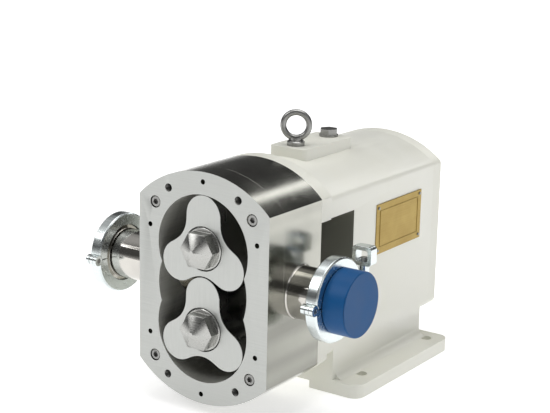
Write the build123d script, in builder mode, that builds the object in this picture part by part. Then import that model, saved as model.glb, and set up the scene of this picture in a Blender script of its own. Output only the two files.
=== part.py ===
"""Rotary lobe pump: two three-lobe rotors in an open-fronted stainless head on a cast gearbox.

Millimetres. The origin is the centre of the four foot holes on the base plane, the head faces -Y,
the shafts run along Y, the ports along X, and +Z is up.
"""
import os
from math import atan2, cos, degrees, hypot, pi, radians, sin, tan

from build123d import *

# ---- running fits ----
FIT = 0.05                    # radial fit of a shaft in a bore, a screw in its thread
GAP = 0.4                     # clearance between pieces that move past each other

# ---- head ----
HEAD_Z = 125.0                # height of the head's centre above the base
SHAFT_HALF = 40.0             # half the distance between the shafts
HEAD_HALF_W = 76.0
HEAD_CORNER = 83.0            # half height of the flat sides
HEAD_TOP = 114.5              # half height over the arched ends
FRONT_Y = -225.0              # front face
RING_DEPTH = 25.0
HEAD_DEPTH = 88.0
CAVITY_R = 52.5
CAVITY_DEPTH = 77.0
WAIST_HALF = 20.0             # half height of the side pockets between the two rotor chambers
POCKET_BULGE = 51.8
SCREW_X, SCREW_Z = 56.5, 77.3         # socket screws
SCREW_R = 3.0
SCREW_HEAD_R, SCREW_HEAD_H = 5.0, 6.0
COUNTERBORE_R, COUNTERBORE_D = 6.0, 6.6
COVER_TAP_X, COVER_TAP_Z = 40.6, 93.4  # tapped holes for a front cover
COVER_TAP_R, COVER_TAP_D = 4.0, 18.0
DOWEL_R, DOWEL_D = 2.5, 12.0
DOWEL_TOP_Z = 105.0
DOWEL_SIDE_X, DOWEL_SIDE_Z = 62.6, 54.3
CASE_Y = FRONT_Y + RING_DEPTH          # front ring to rotor case
HEAD_BACK_Y = FRONT_Y + HEAD_DEPTH     # rotor case to gearbox
CAVITY_BACK_Y = FRONT_Y + CAVITY_DEPTH
SEAL_BORE_R = 25.0

# ---- rotors ----
LOBES = 3
TIP_CENTRE = 32.2             # lobe arc centre from the shaft
ROTOR_GAP = 0.8               # between the two rotors
ROTOR_SINK = 1.0              # rotor face behind the front face
ROTOR_END_GAP = 0.5
NUT_RECESS_R, NUT_RECESS_D = 21.6, 6.0
VALLEY_STEPS = 8

# ---- shafts ----
STUD_R = 10.0
ROTOR_SEAT_R = 15.0
SEAL_JOURNAL_R = 19.0
BEARING_R = 17.5
GEAR_SEAT_R = 16.0
LOCK_R = 15.0
DRIVE_R = 14.0
DRIVE_END_Y = 175.0
DRIVEN_END_Y = 88.0
STUD_LEN = 14.0
FRONT_BEARING_Y = -72.0
REAR_BEARING_Y = 32.0
BEARING_W = 17.0
BEARING_OD = 72.0
KEY_W = 8.0

# ---- rotor nuts ----
NUT_FLANGE_R, NUT_FLANGE_T = 20.8, 6.5
NUT_AF = 33.0
NUT_HEX_H = 10.0
NUT_CROWN_H, NUT_CROWN_TAPER = 7.5, 63.0

# ---- timing gears ----
MODULE = 2.5
TEETH = 32
GEAR_Y, GEAR_FACE = 58.0, 22.0
GEAR_HUB_R = 24.0
BACKLASH = 0.34               # on each side of a tooth
LOCK_NUT_T = 6.0

# ---- gearbox ----
BODY_HALF_W = 73.5
BODY_CORNER, BODY_TOP = 79.0, 105.5    # as for the head, a step lower
FLANGE_T = 17.0
BODY_BACK_Y = 91.0
BACK_FLANGE_T = 17.0
BODY_BOTTOM_Z = 10.0
WALL = 11.0
BAY_HALF_W, BAY_HALF_H = 62.0, 69.0    # open seal bay behind the head
OIL_HALF_H, GEAR_HALF_H = 80.0, 84.0
BAY_BACK_Y = -75.0
OIL_FRONT_Y, OIL_BACK_Y = -50.0, 28.0
GEAR_ROOM_Y = 52.0
WINDOW_BACK_Y = -73.0
WINDOW_TOP, WINDOW_BOTTOM = 60.0, -50.0
FOOT_HALF_W = 104.0
FOOT_FRONT_Y, FOOT_BACK_Y = -104.0, 89.0
FOOT_T = 14.0
FOOT_HOLE_X, FOOT_HOLE_Y = 86.0, 68.5
FOOT_HOLE_R = 6.0
TUNNEL_HALF_W, TUNNEL_H = 46.0, 8.0
PAD_HALF_W, PAD_FRONT_Y, PAD_BACK_Y, PAD_RISE = 22.0, -86.0, 4.0, 9.5

# ---- back cover ----
COVER_T = 20.0
BOSS_R, BOSS_T = 45.0, 11.0
COVER_SCREW_X, COVER_SCREW_Z = 63.0, 62.0
COVER_SCREW_TOP_X, COVER_SCREW_TOP_Z = 34.0, 92.0
LIP_SEAL_R = 24.0
LIP_SEAL_W = 9.0

# ---- top fittings ----
EYE_Y = -70.0
EYE_RING_R, EYE_WIRE_R = 13.1, 3.15
EYE_COLLAR_R, EYE_COLLAR_T = 9.0, 5.0
EYE_SHANK_R, EYE_SHANK_L = 4.0, 12.0
EYE_TURN = 30.0               # degrees the ring is turned from facing the head
PLUG_Y = -8.0

# ---- nameplate ----
PLATE_Y, PLATE_Z = 17.0, 154.5
PLATE_L, PLATE_H, PLATE_T = 93.0, 53.0, 1.0
RIVET_R, RIVET_INSET = 1.6, 4.0

# ---- ports, two inch sanitary ----
PORT_Y = -171.0
TUBE_R, TUBE_BORE_R = 25.5, 23.9
FERRULE_X = 112.5             # face of the right ferrule
LEFT_REACH = 32.0             # how much further out the left ferrule stands
FERRULE_R, FERRULE_RIM = 32.0, 2.85
FERRULE_TAPER = 20.0
GASKET_T = 2.0
GASKET_BORE_R = 24.2

# ---- clamps ----
CLAMP_R = 41.0
CLAMP_HALF_W = 6.5
CLAMP_LIP_R = 29.2
CLAMP_SPLIT = 0.6             # half the gap between the two halves
EAR_REACH = 59.0
EAR_UP, EAR_DOWN = 9.0, 16.0
SLOT_HALF = 3.5
BOLT_OFF, BOLT_PIVOT_Z = 53.0, -9.0
BOLT_R, BOLT_TOP = 3.0, 29.0
BOLT_EYE_R = 5.5
PIN_R = 2.5
HINGE_OFF = 42.0
KNUCKLE_R, KNUCKLE_HALF = 5.2, 2.1
NUT_NECK_R = 5.2
LOOP_Z, LOOP_H, LOOP_W, LOOP_D = 21.5, 19.0, 21.0, 11.0
LOOP_BAR = 4.0

# ---- port plug ----
CAP_R, CAP_LEN = 31.5, 29.0
CAP_NECK_R = 28.3             # inside the clamp
CAP_STEM_R, CAP_STEM_LEN = 23.5, 14.0
CAP_HOLLOW_R = 20.0

COVER_BACK_Y = BODY_BACK_Y + COVER_T
BOSS_BACK_Y = COVER_BACK_Y + BOSS_T

os.makedirs("parts", exist_ok=True)


def save(solid, name):
    """Label a piece and write its STEP file."""
    solid.label = name
    export_step(solid, f"parts/{name}.step")


def facing(y, z=HEAD_Z):
    """A sketch plane across the shafts at y: local x is X, local y is Z, extruding goes to -Y."""
    return Plane(origin=(0, y, z), x_dir=(1, 0, 0), z_dir=(0, -1, 0))


def along_y(sections, z):
    """Stepped round bar about Y at height z from (y, radius) sections, ending at the last y."""
    with BuildPart() as bar:
        for (start, radius), (end, _) in zip(sections, sections[1:]):
            with BuildSketch(facing(start, z)):
                Circle(radius)
            extrude(amount=start - end)
    return bar.part


def head_outline(half_w, corner, top, soften=0.0):
    """Flat sides with arched ends."""
    with BuildSketch() as outline:
        with BuildLine():
            Line((half_w, -corner), (half_w, corner))
            ThreePointArc((half_w, corner), (0, top), (-half_w, corner))
            Line((-half_w, corner), (-half_w, -corner))
            ThreePointArc((-half_w, -corner), (0, -top), (half_w, -corner))
        make_face()
        if soften:
            fillet(outline.vertices(), soften)
    return outline.sketch


def chamber_outline():
    """Two rotor circles joined by bulging side pockets."""
    waist_x = (CAVITY_R**2 - (SHAFT_HALF - WAIST_HALF)**2) ** 0.5 - 0.2
    with BuildSketch() as outline:
        with Locations((0, SHAFT_HALF), (0, -SHAFT_HALF)):
            Circle(CAVITY_R)
        with BuildLine():
            ThreePointArc((waist_x, -WAIST_HALF), (POCKET_BULGE, 0), (waist_x, WAIST_HALF))
            Line((waist_x, WAIST_HALF), (-waist_x, WAIST_HALF))
            ThreePointArc((-waist_x, WAIST_HALF), (-POCKET_BULGE, 0), (-waist_x, -WAIST_HALF))
            Line((-waist_x, -WAIST_HALF), (waist_x, -WAIST_HALF))
        make_face()
    return outline.sketch


HEAD_SHAPE = head_outline(HEAD_HALF_W, HEAD_CORNER, HEAD_TOP, 1.5)
CHAMBER = chamber_outline()
SCREW_SPOTS = [(sx * SCREW_X, sz * SCREW_Z) for sx in (-1, 1) for sz in (-1, 1)]

# ---- front ring ----
with BuildPart() as ring:
    with BuildSketch(facing(FRONT_Y)):
        add(HEAD_SHAPE)
        add(CHAMBER, mode=Mode.SUBTRACT)
    extrude(amount=-RING_DEPTH)
    with BuildSketch(facing(FRONT_Y)):
        with Locations(*SCREW_SPOTS):
            Circle(COUNTERBORE_R)
    extrude(amount=-COUNTERBORE_D, mode=Mode.SUBTRACT)
    with BuildSketch(facing(FRONT_Y)):
        with Locations(*SCREW_SPOTS):
            Circle(SCREW_R + 0.3)
    extrude(amount=-RING_DEPTH, mode=Mode.SUBTRACT)
    with BuildSketch(facing(FRONT_Y)):
        with GridLocations(2 * COVER_TAP_X, 2 * COVER_TAP_Z, 2, 2):
            Circle(COVER_TAP_R)
    extrude(amount=-COVER_TAP_D, mode=Mode.SUBTRACT)
    with BuildSketch(facing(FRONT_Y)):
        with GridLocations(2 * DOWEL_SIDE_X, 2 * DOWEL_SIDE_Z, 2, 2):
            Circle(DOWEL_R)
        with Locations((0, DOWEL_TOP_Z), (0, -DOWEL_TOP_Z)):
            Circle(DOWEL_R)
    extrude(amount=-DOWEL_D, mode=Mode.SUBTRACT)
save(ring.part, "front_ring")

# ---- rotor case ----
with BuildPart() as case:
    with BuildSketch(facing(CASE_Y)):
        add(HEAD_SHAPE)
        with Locations(*SCREW_SPOTS):
            Circle(SCREW_R + 0.3, mode=Mode.SUBTRACT)
        with Locations((0, SHAFT_HALF), (0, -SHAFT_HALF)):
            Circle(SEAL_BORE_R, mode=Mode.SUBTRACT)
    extrude(amount=CASE_Y - HEAD_BACK_Y)
    with BuildSketch(facing(CASE_Y)):
        add(CHAMBER)
    extrude(amount=CASE_Y - CAVITY_BACK_Y, mode=Mode.SUBTRACT)
    with BuildSketch(Plane(origin=(-HEAD_HALF_W, PORT_Y, HEAD_Z), z_dir=(1, 0, 0))):
        Circle(TUBE_BORE_R)
    extrude(amount=2 * HEAD_HALF_W, mode=Mode.SUBTRACT)
save(case.part, "rotor_case")

# ---- socket screws that hold ring and case to the gearbox ----
SCREW_SEAT_Y = FRONT_Y + COUNTERBORE_D
SCREW_END_Y = HEAD_BACK_Y + FLANGE_T - 3


def socket_screws(spots, seat_y, end_y, head_to_front=True):
    """Socket-head screws along Y: heads stand off seat_y, shanks end at end_y."""
    toward = 1 if head_to_front else -1
    with BuildPart() as screws:
        with BuildSketch(facing(seat_y)):
            with Locations(*spots):
                Circle(SCREW_HEAD_R)
        extrude(amount=toward * SCREW_HEAD_H)
        with BuildSketch(facing(seat_y)):
            with Locations(*spots):
                Circle(SCREW_R)
        extrude(amount=-toward * abs(end_y - seat_y))
        with BuildSketch(facing(seat_y - toward * SCREW_HEAD_H)):
            with Locations(*spots):
                RegularPolygon(2.5, 6, major_radius=False)
        extrude(amount=-toward * SCREW_HEAD_H / 2, mode=Mode.SUBTRACT)
    return screws.part


save(socket_screws(SCREW_SPOTS, SCREW_SEAT_Y, SCREW_END_Y), "ring_screws")


# ---- rotors ----
def turned(point, angle):
    """A point turned about the shaft by angle in degrees."""
    a = radians(angle)
    return (point[0] * cos(a) - point[1] * sin(a), point[0] * sin(a) + point[1] * cos(a))


def rotor_outline():
    """Three round lobes; each valley is the envelope of the mating lobe's tip circle."""
    tip_r = hypot(SHAFT_HALF * cos(pi / 6) - TIP_CENTRE, SHAFT_HALF * sin(pi / 6))
    tip = tip_r - ROTOR_GAP / 2
    valley = []
    for step in range(VALLEY_STEPS + 1):
        t = radians(30 - 60 * step / VALLEY_STEPS)
        mate = (2 * SHAFT_HALF * cos(t) - TIP_CENTRE * cos(2 * t),
                -2 * SHAFT_HALF * sin(t) + TIP_CENTRE * sin(2 * t))
        pitch = (SHAFT_HALF * cos(t), -SHAFT_HALF * sin(t))
        reach = hypot(pitch[0] - mate[0], pitch[1] - mate[1])
        scale = (tip_r + ROTOR_GAP / 2) / reach
        valley.append((mate[0] + (pitch[0] - mate[0]) * scale, mate[1] + (pitch[1] - mate[1]) * scale))
    with BuildSketch() as outline:
        with BuildLine():
            for lobe in range(LOBES):
                base = 90 + 360 / LOBES * lobe
                lobe_start = turned(valley[-1], base - 60)
                lobe_end = turned(valley[0], base + 60)
                ThreePointArc(lobe_start, turned((TIP_CENTRE + tip, 0), base), lobe_end)
                Spline(*[turned(p, base + 60) for p in valley])
        make_face()
    return outline.sketch


ROTOR_SHAPE = rotor_outline()
ROTOR_FRONT_Y = FRONT_Y + ROTOR_SINK
ROTOR_BACK_Y = CAVITY_BACK_Y - ROTOR_END_GAP
NUT_SEAT_Y = ROTOR_FRONT_Y + NUT_RECESS_D
KEY_SINK = 4.0                # keyway depth in the shaft
KEY_STAND = 3.3               # keyway depth in the hub
ROTOR_KEY = (-200.0, -165.0)
GEAR_KEY = (60.0, 78.0)
COUPLING_KEY = (136.0, 168.0)
COUPLING_TURN = 38.0          # degrees from the top to the coupling's keyway


def keyway(radius, start, end, z, grow=0.0):
    """A key slot on top of a shaft of this radius, as a solid."""
    with BuildPart() as slot:
        with BuildSketch(Plane.XY.offset(z + radius - KEY_SINK - grow)):
            with Locations((0, (start + end) / 2)):
                Rectangle(KEY_W + 2 * grow, end - start + 2 * grow)
        extrude(amount=KEY_SINK + KEY_STAND + 2 * grow)
    return slot.part


for name, z in (("upper_rotor", HEAD_Z + SHAFT_HALF), ("lower_rotor", HEAD_Z - SHAFT_HALF)):
    with BuildPart() as rotor:
        with BuildSketch(facing(ROTOR_FRONT_Y, z)):
            add(ROTOR_SHAPE)
        extrude(amount=ROTOR_FRONT_Y - ROTOR_BACK_Y)
        with BuildSketch(facing(ROTOR_FRONT_Y, z)):
            Circle(NUT_RECESS_R)
        extrude(amount=-NUT_RECESS_D, mode=Mode.SUBTRACT)
        with BuildSketch(facing(ROTOR_FRONT_Y, z)):
            Circle(ROTOR_SEAT_R + FIT)
        extrude(amount=ROTOR_FRONT_Y - ROTOR_BACK_Y, mode=Mode.SUBTRACT)
        add(keyway(ROTOR_SEAT_R, ROTOR_KEY[0], ROTOR_BACK_Y + 1, z, FIT), mode=Mode.SUBTRACT)
    save(rotor.part, name)

# ---- rotor nuts ----
for name, z in (("upper_rotor_nut", HEAD_Z + SHAFT_HALF), ("lower_rotor_nut", HEAD_Z - SHAFT_HALF)):
    flange_front = NUT_SEAT_Y - NUT_FLANGE_T
    with BuildPart() as nut:
        with BuildSketch(facing(NUT_SEAT_Y, z)):
            Circle(NUT_FLANGE_R)
        extrude(amount=NUT_FLANGE_T)
        chamfer(nut.edges().group_by(Axis.Y)[0], 0.8)
        with BuildSketch(facing(flange_front, z)):
            RegularPolygon(NUT_AF / 2, 6, major_radius=False)
        extrude(amount=NUT_HEX_H)
        with BuildSketch(facing(flange_front - NUT_HEX_H, z)):
            RegularPolygon(NUT_AF / 2, 6, major_radius=False)
        extrude(amount=NUT_CROWN_H, taper=NUT_CROWN_TAPER)
        with BuildSketch(facing(NUT_SEAT_Y, z)):
            Circle(STUD_R + FIT)
        extrude(amount=STUD_LEN + 1, mode=Mode.SUBTRACT)
    save(nut.part, name)

# ---- shafts ----
UPPER_Z, LOWER_Z = HEAD_Z + SHAFT_HALF, HEAD_Z - SHAFT_HALF
STUD_END_Y = NUT_SEAT_Y - STUD_LEN
GEAR_HUB_Y = REAR_BEARING_Y + BEARING_W
GEAR_END_Y = GEAR_Y + GEAR_FACE + 2
LOCK_END_Y = GEAR_END_Y + LOCK_NUT_T
SHAFT_STEPS = [
    (STUD_END_Y, STUD_R),
    (NUT_SEAT_Y, ROTOR_SEAT_R),
    (ROTOR_BACK_Y, SEAL_JOURNAL_R),
    (FRONT_BEARING_Y, BEARING_R),
    (GEAR_HUB_Y, GEAR_SEAT_R),
    (GEAR_END_Y, LOCK_R),
]
for name, z, tail in (
    ("drive_shaft", UPPER_Z, [(BOSS_BACK_Y + 2, DRIVE_R), (DRIVE_END_Y, DRIVE_R)]),
    ("driven_shaft", LOWER_Z, [(DRIVEN_END_Y + 1, LOCK_R)]),
):
    with BuildPart() as shaft:
        add(along_y(SHAFT_STEPS + tail, z))
        add(keyway(ROTOR_SEAT_R, *ROTOR_KEY, z, FIT), mode=Mode.SUBTRACT)
        add(keyway(GEAR_SEAT_R, *GEAR_KEY, z, FIT), mode=Mode.SUBTRACT)
        if name == "drive_shaft":
            slot = keyway(DRIVE_R, *COUPLING_KEY, z, FIT)
            add(slot.rotate(Axis((0, 0, z), (0, 1, 0)), COUPLING_TURN), mode=Mode.SUBTRACT)
            chamfer(shaft.edges().filter_by(GeomType.CIRCLE).group_by(Axis.Y)[-1], 1.5)
    save(shaft.part, name)

for name, radius, span, z in (
    ("drive_rotor_key", ROTOR_SEAT_R, ROTOR_KEY, UPPER_Z),
    ("driven_rotor_key", ROTOR_SEAT_R, ROTOR_KEY, LOWER_Z),
    ("drive_gear_key", GEAR_SEAT_R, GEAR_KEY, UPPER_Z),
    ("driven_gear_key", GEAR_SEAT_R, GEAR_KEY, LOWER_Z),
):
    save(keyway(radius, *span, z), name)


# ---- shaft seals between the rotor case and the open bay ----
def rings(pieces):
    """Plain rings about Y: each is (y start, y end, outer radius, bore radius, z)."""
    with BuildPart() as group:
        for start, end, outer, bore, z in pieces:
            with BuildSketch(facing(start, z)):
                Circle(outer)
                Circle(bore, mode=Mode.SUBTRACT)
            extrude(amount=start - end)
    return group.part


save(rings([(CAVITY_BACK_Y + 1, HEAD_BACK_Y + 4, SEAL_BORE_R - FIT, SEAL_JOURNAL_R + GAP, z)
            for z in (UPPER_Z, LOWER_Z)]), "seal_seats")
SEAL_HEAD = (HEAD_BACK_Y + 4.4, HEAD_BACK_Y + 28)
for name, z in (("drive_seal_head", UPPER_Z), ("driven_seal_head", LOWER_Z)):
    with BuildPart() as seal:
        add(rings([(SEAL_HEAD[0], SEAL_HEAD[1], 23.5, SEAL_JOURNAL_R + FIT, z)]))
        with BuildSketch(facing(SEAL_HEAD[0] + 7, z)):
            Circle(26.5)
            Circle(SEAL_JOURNAL_R + FIT, mode=Mode.SUBTRACT)
        extrude(amount=-9)
        with BuildSketch(facing(SEAL_HEAD[1], z)):
            Circle(26.5)
            Circle(SEAL_JOURNAL_R + FIT, mode=Mode.SUBTRACT)
        extrude(amount=6)
    save(seal.part, name)

# ---- bearings ----
BEARING_SPANS = [(y, y + BEARING_W) for y in (FRONT_BEARING_Y, REAR_BEARING_Y)]
RACE_IN_R, RACE_OUT_R = 23.0, 31.5
with BuildPart() as outers:
    for z in (UPPER_Z, LOWER_Z):
        for start, end in BEARING_SPANS:
            add(rings([(start, end, BEARING_OD / 2 - FIT, RACE_OUT_R, z)]))
            add(rings([(start + 0.8, start + 1.8, RACE_OUT_R + 0.5, RACE_IN_R + GAP, z)]))
            add(rings([(end - 1.8, end - 0.8, RACE_OUT_R + 0.5, RACE_IN_R + GAP, z)]))
save(outers.part, "bearing_outer_rings")
for name, z in (("drive_bearing_inner_rings", UPPER_Z), ("driven_bearing_inner_rings", LOWER_Z)):
    save(rings([(start, end, RACE_IN_R, BEARING_R + FIT, z) for start, end in BEARING_SPANS]), name)
for name, z in (("drive_bearing_spacer", UPPER_Z), ("driven_bearing_spacer", LOWER_Z)):
    save(rings([(FRONT_BEARING_Y + BEARING_W, REAR_BEARING_Y, 21.5, BEARING_R + FIT, z)]), name)
save(rings([(BAY_BACK_Y, BAY_BACK_Y + 2.6, BEARING_OD / 2 - 4, SEAL_JOURNAL_R + GAP, z)
            for z in (UPPER_Z, LOWER_Z)]), "bearing_lip_seals")


# ---- timing gears ----
def gear_outline(phase):
    """Involute spur gear with running backlash; phase turns it in degrees."""
    pitch_r = MODULE * TEETH / 2
    pressure = radians(20)
    base_r = pitch_r * cos(pressure)
    root_r, top_r = pitch_r - 1.25 * MODULE, pitch_r + 0.9 * MODULE
    half = (pi * MODULE / 2 - BACKLASH) / (2 * pitch_r)
    inv = tan(pressure) - pressure
    flank = []
    for radius in (base_r, pitch_r - 0.3 * MODULE, pitch_r + 0.3 * MODULE, top_r):
        roll = (max(radius**2 / base_r**2 - 1, 0)) ** 0.5
        flank.append((radius, degrees(half + inv - (roll - atan2(roll, 1)))))
    points = []
    for tooth in range(TEETH):
        middle = phase + 360 / TEETH * tooth
        points.append(turned((root_r, 0), middle - flank[0][1]))
        points += [turned((r, 0), middle - a) for r, a in flank]
        points += [turned((r, 0), middle + a) for r, a in reversed(flank)]
        points.append(turned((root_r, 0), middle + flank[0][1]))
    with BuildSketch() as outline:
        with BuildLine():
            Polyline(*points, close=True)
        make_face()
    return outline.sketch


for name, z, phase in (("drive_gear", UPPER_Z, 0.0), ("driven_gear", LOWER_Z, 180 / TEETH)):
    with BuildPart() as gear:
        with BuildSketch(facing(GEAR_Y, z)):
            add(gear_outline(phase))
        extrude(amount=-GEAR_FACE)
        with BuildSketch(facing(GEAR_HUB_Y, z)):
            Circle(GEAR_HUB_R)
        extrude(amount=GEAR_HUB_Y - GEAR_END_Y)
        with BuildSketch(facing(GEAR_HUB_Y, z)):
            Circle(GEAR_SEAT_R + FIT)
        extrude(amount=GEAR_HUB_Y - GEAR_END_Y, mode=Mode.SUBTRACT)
        add(keyway(GEAR_SEAT_R, GEAR_HUB_Y - 1, GEAR_END_Y + 1, z, FIT), mode=Mode.SUBTRACT)
    save(gear.part, name)

for name, z in (("drive_lock_nut", UPPER_Z), ("driven_lock_nut", LOWER_Z)):
    with BuildPart() as lock:
        add(rings([(GEAR_END_Y, LOCK_END_Y, 25.0, LOCK_R + FIT, z)]))
        with BuildSketch(facing(GEAR_END_Y, z)):
            with PolarLocations(25.0, 4):
                Rectangle(5, 5)
        extrude(amount=-LOCK_NUT_T, mode=Mode.SUBTRACT)
    save(lock.part, name)

# ---- gearbox housing ----
BODY_SHAPE = head_outline(BODY_HALF_W, BODY_CORNER, BODY_TOP, 7.0)
COVER_SPOTS = [(sx * COVER_SCREW_X, sz * COVER_SCREW_Z) for sx in (-1, 1) for sz in (-1, 1)]
COVER_SPOTS += [(sx * COVER_SCREW_TOP_X, sz * COVER_SCREW_TOP_Z) for sx in (-1, 1) for sz in (-1, 1)]
PEDESTAL_BACK_Y = BODY_BACK_Y - BACK_FLANGE_T
PAD_TOP_Z = HEAD_Z + BODY_TOP + PAD_RISE

with BuildPart() as housing:
    # front flange, body and back flange
    with BuildSketch(facing(HEAD_BACK_Y)):
        add(head_outline(HEAD_HALF_W, HEAD_CORNER, HEAD_TOP, 3.0))
    extrude(amount=-FLANGE_T)
    with BuildSketch(facing(HEAD_BACK_Y + FLANGE_T)):
        add(BODY_SHAPE)
    extrude(amount=HEAD_BACK_Y + FLANGE_T - BODY_BACK_Y)
    # pedestal down to the feet
    with BuildSketch(Plane.XY.offset(BODY_BOTTOM_Z)):
        with Locations((0, (FOOT_FRONT_Y + PEDESTAL_BACK_Y) / 2)):
            Rectangle(2 * BODY_HALF_W, PEDESTAL_BACK_Y - FOOT_FRONT_Y)
    extrude(amount=HEAD_Z - BODY_CORNER)
    with BuildSketch(Plane.XY):
        with Locations((0, (FOOT_FRONT_Y + FOOT_BACK_Y) / 2)):
            RectangleRounded(2 * FOOT_HALF_W, FOOT_BACK_Y - FOOT_FRONT_Y, 12)
    extrude(amount=FOOT_T)
    # fillet between sides and feet
    for side in (-1, 1):
        with BuildSketch(Plane(origin=(0, FOOT_FRONT_Y + 6, 0), x_dir=(1, 0, 0), z_dir=(0, -1, 0))):
            with BuildLine():
                Line((side * (BODY_HALF_W - 1), FOOT_T), (side * (BODY_HALF_W + 9), FOOT_T))
                RadiusArc((side * (BODY_HALF_W + 9), FOOT_T), (side * BODY_HALF_W, FOOT_T + 9), side * 9)
                Line((side * BODY_HALF_W, FOOT_T + 9), (side * (BODY_HALF_W - 1), FOOT_T + 9))
                Line((side * (BODY_HALF_W - 1), FOOT_T + 9), (side * (BODY_HALF_W - 1), FOOT_T))
            make_face()
        extrude(amount=FOOT_FRONT_Y + 6 - PEDESTAL_BACK_Y)
    # raised pad for the eyebolt and the filler
    with BuildSketch(Plane.XY.offset(PAD_TOP_Z)):
        with Locations((0, (PAD_FRONT_Y + PAD_BACK_Y) / 2)):
            RectangleRounded(2 * PAD_HALF_W, PAD_BACK_Y - PAD_FRONT_Y, 5)
    extrude(amount=-PAD_RISE - 8)
    # tunnel under the base
    with BuildSketch(facing(FOOT_FRONT_Y - 20, 0)):
        Rectangle(2 * TUNNEL_HALF_W, 2 * TUNNEL_H)
    extrude(amount=FOOT_FRONT_Y - FOOT_BACK_Y - 30, mode=Mode.SUBTRACT)
    # open seal bay with a window on each side
    with BuildSketch(facing(HEAD_BACK_Y)):
        RectangleRounded(2 * BAY_HALF_W, 2 * BAY_HALF_H, 8)
    extrude(amount=HEAD_BACK_Y - BAY_BACK_Y, mode=Mode.SUBTRACT)
    with BuildSketch(facing(HEAD_BACK_Y)):
        with Locations((0, (WINDOW_TOP + WINDOW_BOTTOM) / 2)):
            Rectangle(2 * HEAD_HALF_W + 2, WINDOW_TOP - WINDOW_BOTTOM)
    extrude(amount=HEAD_BACK_Y - WINDOW_BACK_Y, mode=Mode.SUBTRACT)
    # oil room between the bearing walls
    with BuildSketch(facing(OIL_FRONT_Y)):
        RectangleRounded(2 * BAY_HALF_W, 2 * OIL_HALF_H, 12)
    extrude(amount=OIL_FRONT_Y - OIL_BACK_Y, mode=Mode.SUBTRACT)
    # gear room
    with BuildSketch(facing(GEAR_ROOM_Y)):
        RectangleRounded(2 * (SHAFT_HALF + 13), 2 * GEAR_HALF_H, 20)
    extrude(amount=GEAR_ROOM_Y - BODY_BACK_Y, mode=Mode.SUBTRACT)
    # bearing bores and shaft holes
    for z in (UPPER_Z, LOWER_Z):
        with BuildSketch(facing(FRONT_BEARING_Y, z)):
            Circle(BEARING_OD / 2)
        extrude(amount=FRONT_BEARING_Y - OIL_FRONT_Y, mode=Mode.SUBTRACT)
        with BuildSketch(facing(BAY_BACK_Y, z)):
            Circle(BEARING_OD / 2 - 4 + FIT)
        extrude(amount=BAY_BACK_Y - FRONT_BEARING_Y, mode=Mode.SUBTRACT)
        with BuildSketch(facing(OIL_BACK_Y, z)):
            Circle(BEARING_OD / 2)
        extrude(amount=OIL_BACK_Y - GEAR_ROOM_Y, mode=Mode.SUBTRACT)
    # tapped holes for head screws and cover screws
    with BuildSketch(facing(HEAD_BACK_Y)):
        with Locations(*SCREW_SPOTS):
            Circle(SCREW_R + FIT)
    extrude(amount=-FLANGE_T, mode=Mode.SUBTRACT)
    with BuildSketch(facing(BODY_BACK_Y)):
        with Locations(*COVER_SPOTS):
            Circle(SCREW_R + FIT)
    extrude(amount=14, mode=Mode.SUBTRACT)
    # foot holes, eyebolt and filler threads
    with BuildSketch(Plane.XY):
        with GridLocations(2 * FOOT_HOLE_X, 2 * FOOT_HOLE_Y, 2, 2):
            Circle(FOOT_HOLE_R)
    extrude(amount=FOOT_T, mode=Mode.SUBTRACT)
    with BuildSketch(Plane.XY.offset(PAD_TOP_Z)):
        with Locations((0, EYE_Y)):
            Circle(EYE_SHANK_R + FIT)
    extrude(amount=-EYE_SHANK_L - 2, mode=Mode.SUBTRACT)
    with BuildSketch(Plane.XY.offset(PAD_TOP_Z)):
        with Locations((0, PLUG_Y)):
            Circle(7 + FIT)
    extrude(amount=-50, mode=Mode.SUBTRACT)
save(housing.part, "gearbox_housing")

# ---- back cover ----
DRAIN_Z = 58.0
DRAIN_X = 24.0
with BuildPart() as cover:
    with BuildSketch(facing(BODY_BACK_Y)):
        add(BODY_SHAPE)
    extrude(amount=-COVER_T)
    chamfer(cover.edges().group_by(Axis.Y)[-1], 4.0)
    with BuildSketch(facing(COVER_BACK_Y, UPPER_Z)):
        Circle(BOSS_R)
    extrude(amount=-BOSS_T)
    with BuildSketch(facing(BODY_BACK_Y)):
        RectangleRounded(2 * (SHAFT_HALF + 8), 2 * BODY_CORNER, 18)
    extrude(amount=-8, mode=Mode.SUBTRACT)
    with BuildSketch(facing(BODY_BACK_Y, UPPER_Z)):
        Circle(LOCK_R + 2)
    extrude(amount=BODY_BACK_Y - BOSS_BACK_Y, mode=Mode.SUBTRACT)
    with BuildSketch(facing(BOSS_BACK_Y - LIP_SEAL_W - 1, UPPER_Z)):
        Circle(LIP_SEAL_R)
    extrude(amount=-LIP_SEAL_W - 1, mode=Mode.SUBTRACT)
    with BuildSketch(facing(BODY_BACK_Y)):
        with Locations(*COVER_SPOTS):
            Circle(SCREW_R + 0.3)
    extrude(amount=-COVER_T, mode=Mode.SUBTRACT)
    with BuildSketch(facing(COVER_BACK_Y - 8)):
        with Locations(*COVER_SPOTS):
            Circle(COUNTERBORE_R)
    extrude(amount=-8, mode=Mode.SUBTRACT)
    with BuildSketch(facing(BODY_BACK_Y, 0)):
        with Locations((-DRAIN_X, DRAIN_Z)):
            Circle(7 + FIT)
        with Locations((DRAIN_X, DRAIN_Z + 12)):
            Circle(10 + FIT)
    extrude(amount=-COVER_T, mode=Mode.SUBTRACT)
save(cover.part, "back_cover")
save(socket_screws(COVER_SPOTS, COVER_BACK_Y - 8, BODY_BACK_Y - 12, False), "back_cover_screws")
save(rings([(BOSS_BACK_Y - LIP_SEAL_W - 1, BOSS_BACK_Y - 1, LIP_SEAL_R - FIT, LOCK_R + GAP, UPPER_Z)]),
     "drive_lip_seal")

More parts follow.
